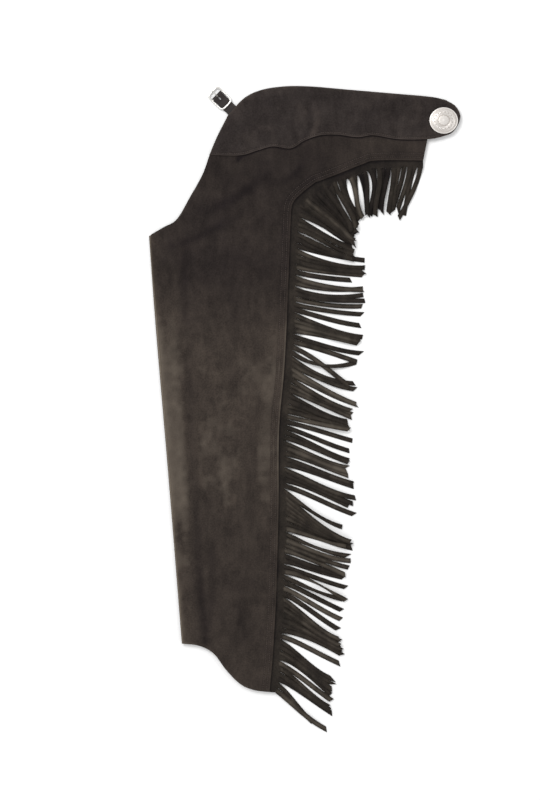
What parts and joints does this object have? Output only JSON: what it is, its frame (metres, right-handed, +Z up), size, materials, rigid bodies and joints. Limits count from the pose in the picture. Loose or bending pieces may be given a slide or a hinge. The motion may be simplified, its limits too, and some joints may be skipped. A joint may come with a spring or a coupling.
{
  "type": "leather chaps",
  "caption": "Fringed suede riding chaps folded in half and laid flat, with a scalloped yoke, a buckle strap at the front and a round concho at the centre back.",
  "frame": {"origin": "middle of the footprint, on the surface the chaps lie on", "axes": "+Y up the leg to the waist, +X from the inner leg to the fringed outer seam, +Z up from the surface"},
  "size_m": [0.5586, 1.1552, 0.0146],
  "materials": {
    "leg_suede": "napped suede",
    "yoke_suede": "napped suede, slightly darker",
    "fringe_suede": "napped suede, cut into strands",
    "strap_leather": "smooth, dull",
    "buckle_nickel": "nickel plate",
    "concho_silver": "silver plate, engraved"
  },
  "bodies": {
    "chaps": {"second_leg": "leg_suede", "leg_panel": "leg_suede", "yoke": "yoke_suede", "leg_fringe": "fringe_suede", "hip_fringe": "fringe_suede", "buckle_strap": "strap_leather", "concho": "concho_silver"},
    "buckle": {"buckle_frame": "buckle_nickel"},
    "prong": {"buckle_prong": "buckle_nickel"}
  },
  "joints": [
    {"name": "buckle_swing", "type": "hinge", "parent": "chaps", "child": "buckle", "pos_m": [-0.1569, 0.562, 0.0036], "axis": [-0.6947, -0.7193, 0], "range_deg": [0, 150]},
    {"name": "prong_swing", "type": "hinge", "parent": "buckle", "child": "prong", "pos_m": [-0.1569, 0.562, 0.0036], "axis": [0.6947, 0.7193, 0], "range_deg": [0, 140]}
  ]
}
